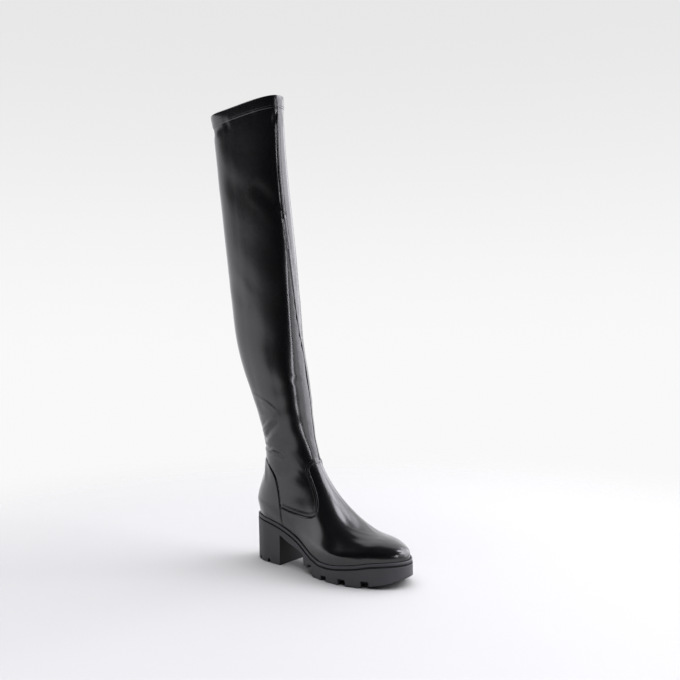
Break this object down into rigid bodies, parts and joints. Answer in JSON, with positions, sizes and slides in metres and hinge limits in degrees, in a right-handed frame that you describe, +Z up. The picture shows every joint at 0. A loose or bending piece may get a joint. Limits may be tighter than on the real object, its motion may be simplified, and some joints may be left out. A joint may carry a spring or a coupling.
{
  "type": "thigh high boot",
  "caption": "Right-foot thigh high boot in smooth black faux leather, with an inner-side zip, rounded toe, block heel and lugged one-piece sole.",
  "frame": {"origin": "middle of the bounding box, on the floor under the sole", "axes": "+X from heel to toe, +Y to the inner (medial) side that carries the zip, +Z up"},
  "size_m": [0.3284, 0.0926, 0.628],
  "materials": {
    "leather": "smooth, satin gloss",
    "sole": "matt moulded",
    "lining": "matt",
    "tape": "woven, matt",
    "teeth": "satin",
    "zip_metal": "dark, satin"
  },
  "bodies": {
    "boot": {"upper": "leather", "outsole": "sole", "rand": "sole", "insole": "lining", "zip_tape": "tape", "zip_teeth": "teeth", "zip_slider": "zip_metal"},
    "tab": {"pull_tab": "zip_metal"}
  },
  "joints": [
    {"name": "tab_hinge", "type": "hinge", "parent": "boot", "child": "tab", "pos_m": [-0.0607, 0.03388, 0.33727], "axis": [0.9766, -0.0547, 0.208], "range_deg": [0, 160]}
  ]
}
